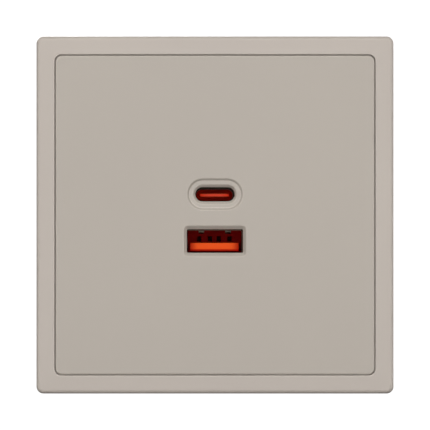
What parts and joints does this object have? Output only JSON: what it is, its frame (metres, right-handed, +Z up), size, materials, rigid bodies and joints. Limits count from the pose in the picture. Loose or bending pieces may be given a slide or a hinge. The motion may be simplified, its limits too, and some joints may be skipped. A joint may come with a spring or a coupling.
{
  "type": "usb wall socket",
  "caption": "Square flush wall socket with a small oval and a large rectangular charging port, steel support ring, spreading claws and push-in terminals.",
  "frame": {"origin": "middle of the box screw slots, in the plane of the wall", "axes": "+X to the right and +Z up for a person facing the wall, +Y into the wall"},
  "size_m": [0.081, 0.0419, 0.081],
  "materials": {
    "frame_plastic": "satin",
    "cover_plastic": "satin",
    "insert_plastic": "satin",
    "casing_plastic": "satin",
    "port_orange": "satin",
    "shell_steel": "satin",
    "contact_gold": "bright",
    "ring_steel": "zinc plated",
    "screw_steel": "zinc plated",
    "claw_steel": "yellow zinc plated",
    "spring_steel": "bright",
    "copper": "bright",
    "release_orange": "satin",
    "board_green": "solder mask",
    "ferrite": "ground",
    "tape_yellow": "film tape",
    "capacitor_sleeve": "shrunk sleeve",
    "component_black": "moulded",
    "film_box_yellow": "moulded",
    "aluminium": "rolled"
  },
  "bodies": {
    "root": {"outer_frame": "frame_plastic", "cover_plate": "cover_plastic", "support_ring": "ring_steel", "housing_front": "insert_plastic", "rear_casing": "casing_plastic", "housing_screws": "screw_steel", "usb_c_shell": "shell_steel", "usb_c_tongue": "port_orange", "usb_c_contacts": "contact_gold", "usb_a_shell": "shell_steel", "usb_a_insulator": "port_orange", "usb_a_contacts": "contact_gold", "port_board": "board_green", "power_board": "board_green", "board_link_pins": "contact_gold", "transformer_core": "ferrite", "transformer_bobbin": "component_black", "transformer_winding": "tape_yellow", "bulk_capacitors": "capacitor_sleeve", "output_capacitors": "capacitor_sleeve", "suppression_capacitor": "film_box_yellow", "choke_core": "ferrite", "choke_winding": "copper", "bridge_rectifier": "component_black", "mains_fuse": "component_black", "heat_spreader": "aluminium", "controller_chips": "component_black", "terminal_block": "insert_plastic", "busbar_line": "copper", "busbar_neutral": "copper", "clamp_spring_line": "spring_steel", "clamp_spring_neutral": "spring_steel"},
    "claw_right": {"claw_right": "claw_steel"},
    "claw_left": {"claw_left": "claw_steel"},
    "claw_screw_right": {"claw_screw_right": "screw_steel"},
    "claw_screw_left": {"claw_screw_left": "screw_steel"},
    "release_button_line": {"release_button_line": "release_orange"},
    "release_button_neutral": {"release_button_neutral": "release_orange"}
  },
  "joints": [
    {"name": "claw_screw_right_turn", "type": "hinge", "parent": "root", "child": "claw_screw_right", "pos_m": [0.0248, 0, 0.01], "axis": [0, 1, 0], "range_deg": [0, 1080]},
    {"name": "claw_right_swing", "type": "hinge", "parent": "root", "child": "claw_right", "pos_m": [0.0212, 0.0032, 0.01], "axis": [0, 0, -1], "range_deg": [0, 22]},
    {"name": "claw_screw_left_turn", "type": "hinge", "parent": "root", "child": "claw_screw_left", "pos_m": [-0.0248, 0, -0.01], "axis": [0, 1, 0], "range_deg": [0, 1080]},
    {"name": "claw_left_swing", "type": "hinge", "parent": "root", "child": "claw_left", "pos_m": [-0.0212, 0.0032, -0.01], "axis": [0, 0, 1], "range_deg": [0, 22]},
    {"name": "release_line_press", "type": "slide", "parent": "root", "child": "release_button_line", "axis": [0, -1, 0], "range_m": [0, 0.0015], "stiffness_N_per_m": 1500, "deforming": ["clamp_spring_line"]},
    {"name": "release_neutral_press", "type": "slide", "parent": "root", "child": "release_button_neutral", "axis": [0, -1, 0], "range_m": [0, 0.0015], "stiffness_N_per_m": 1500, "deforming": ["clamp_spring_neutral"]}
  ],
  "couplings": [
    {"joint": "claw_right_swing", "follows": "claw_screw_right_turn", "ratio": 0.02037},
    {"joint": "claw_left_swing", "follows": "claw_screw_left_turn", "ratio": 0.02037}
  ]
}
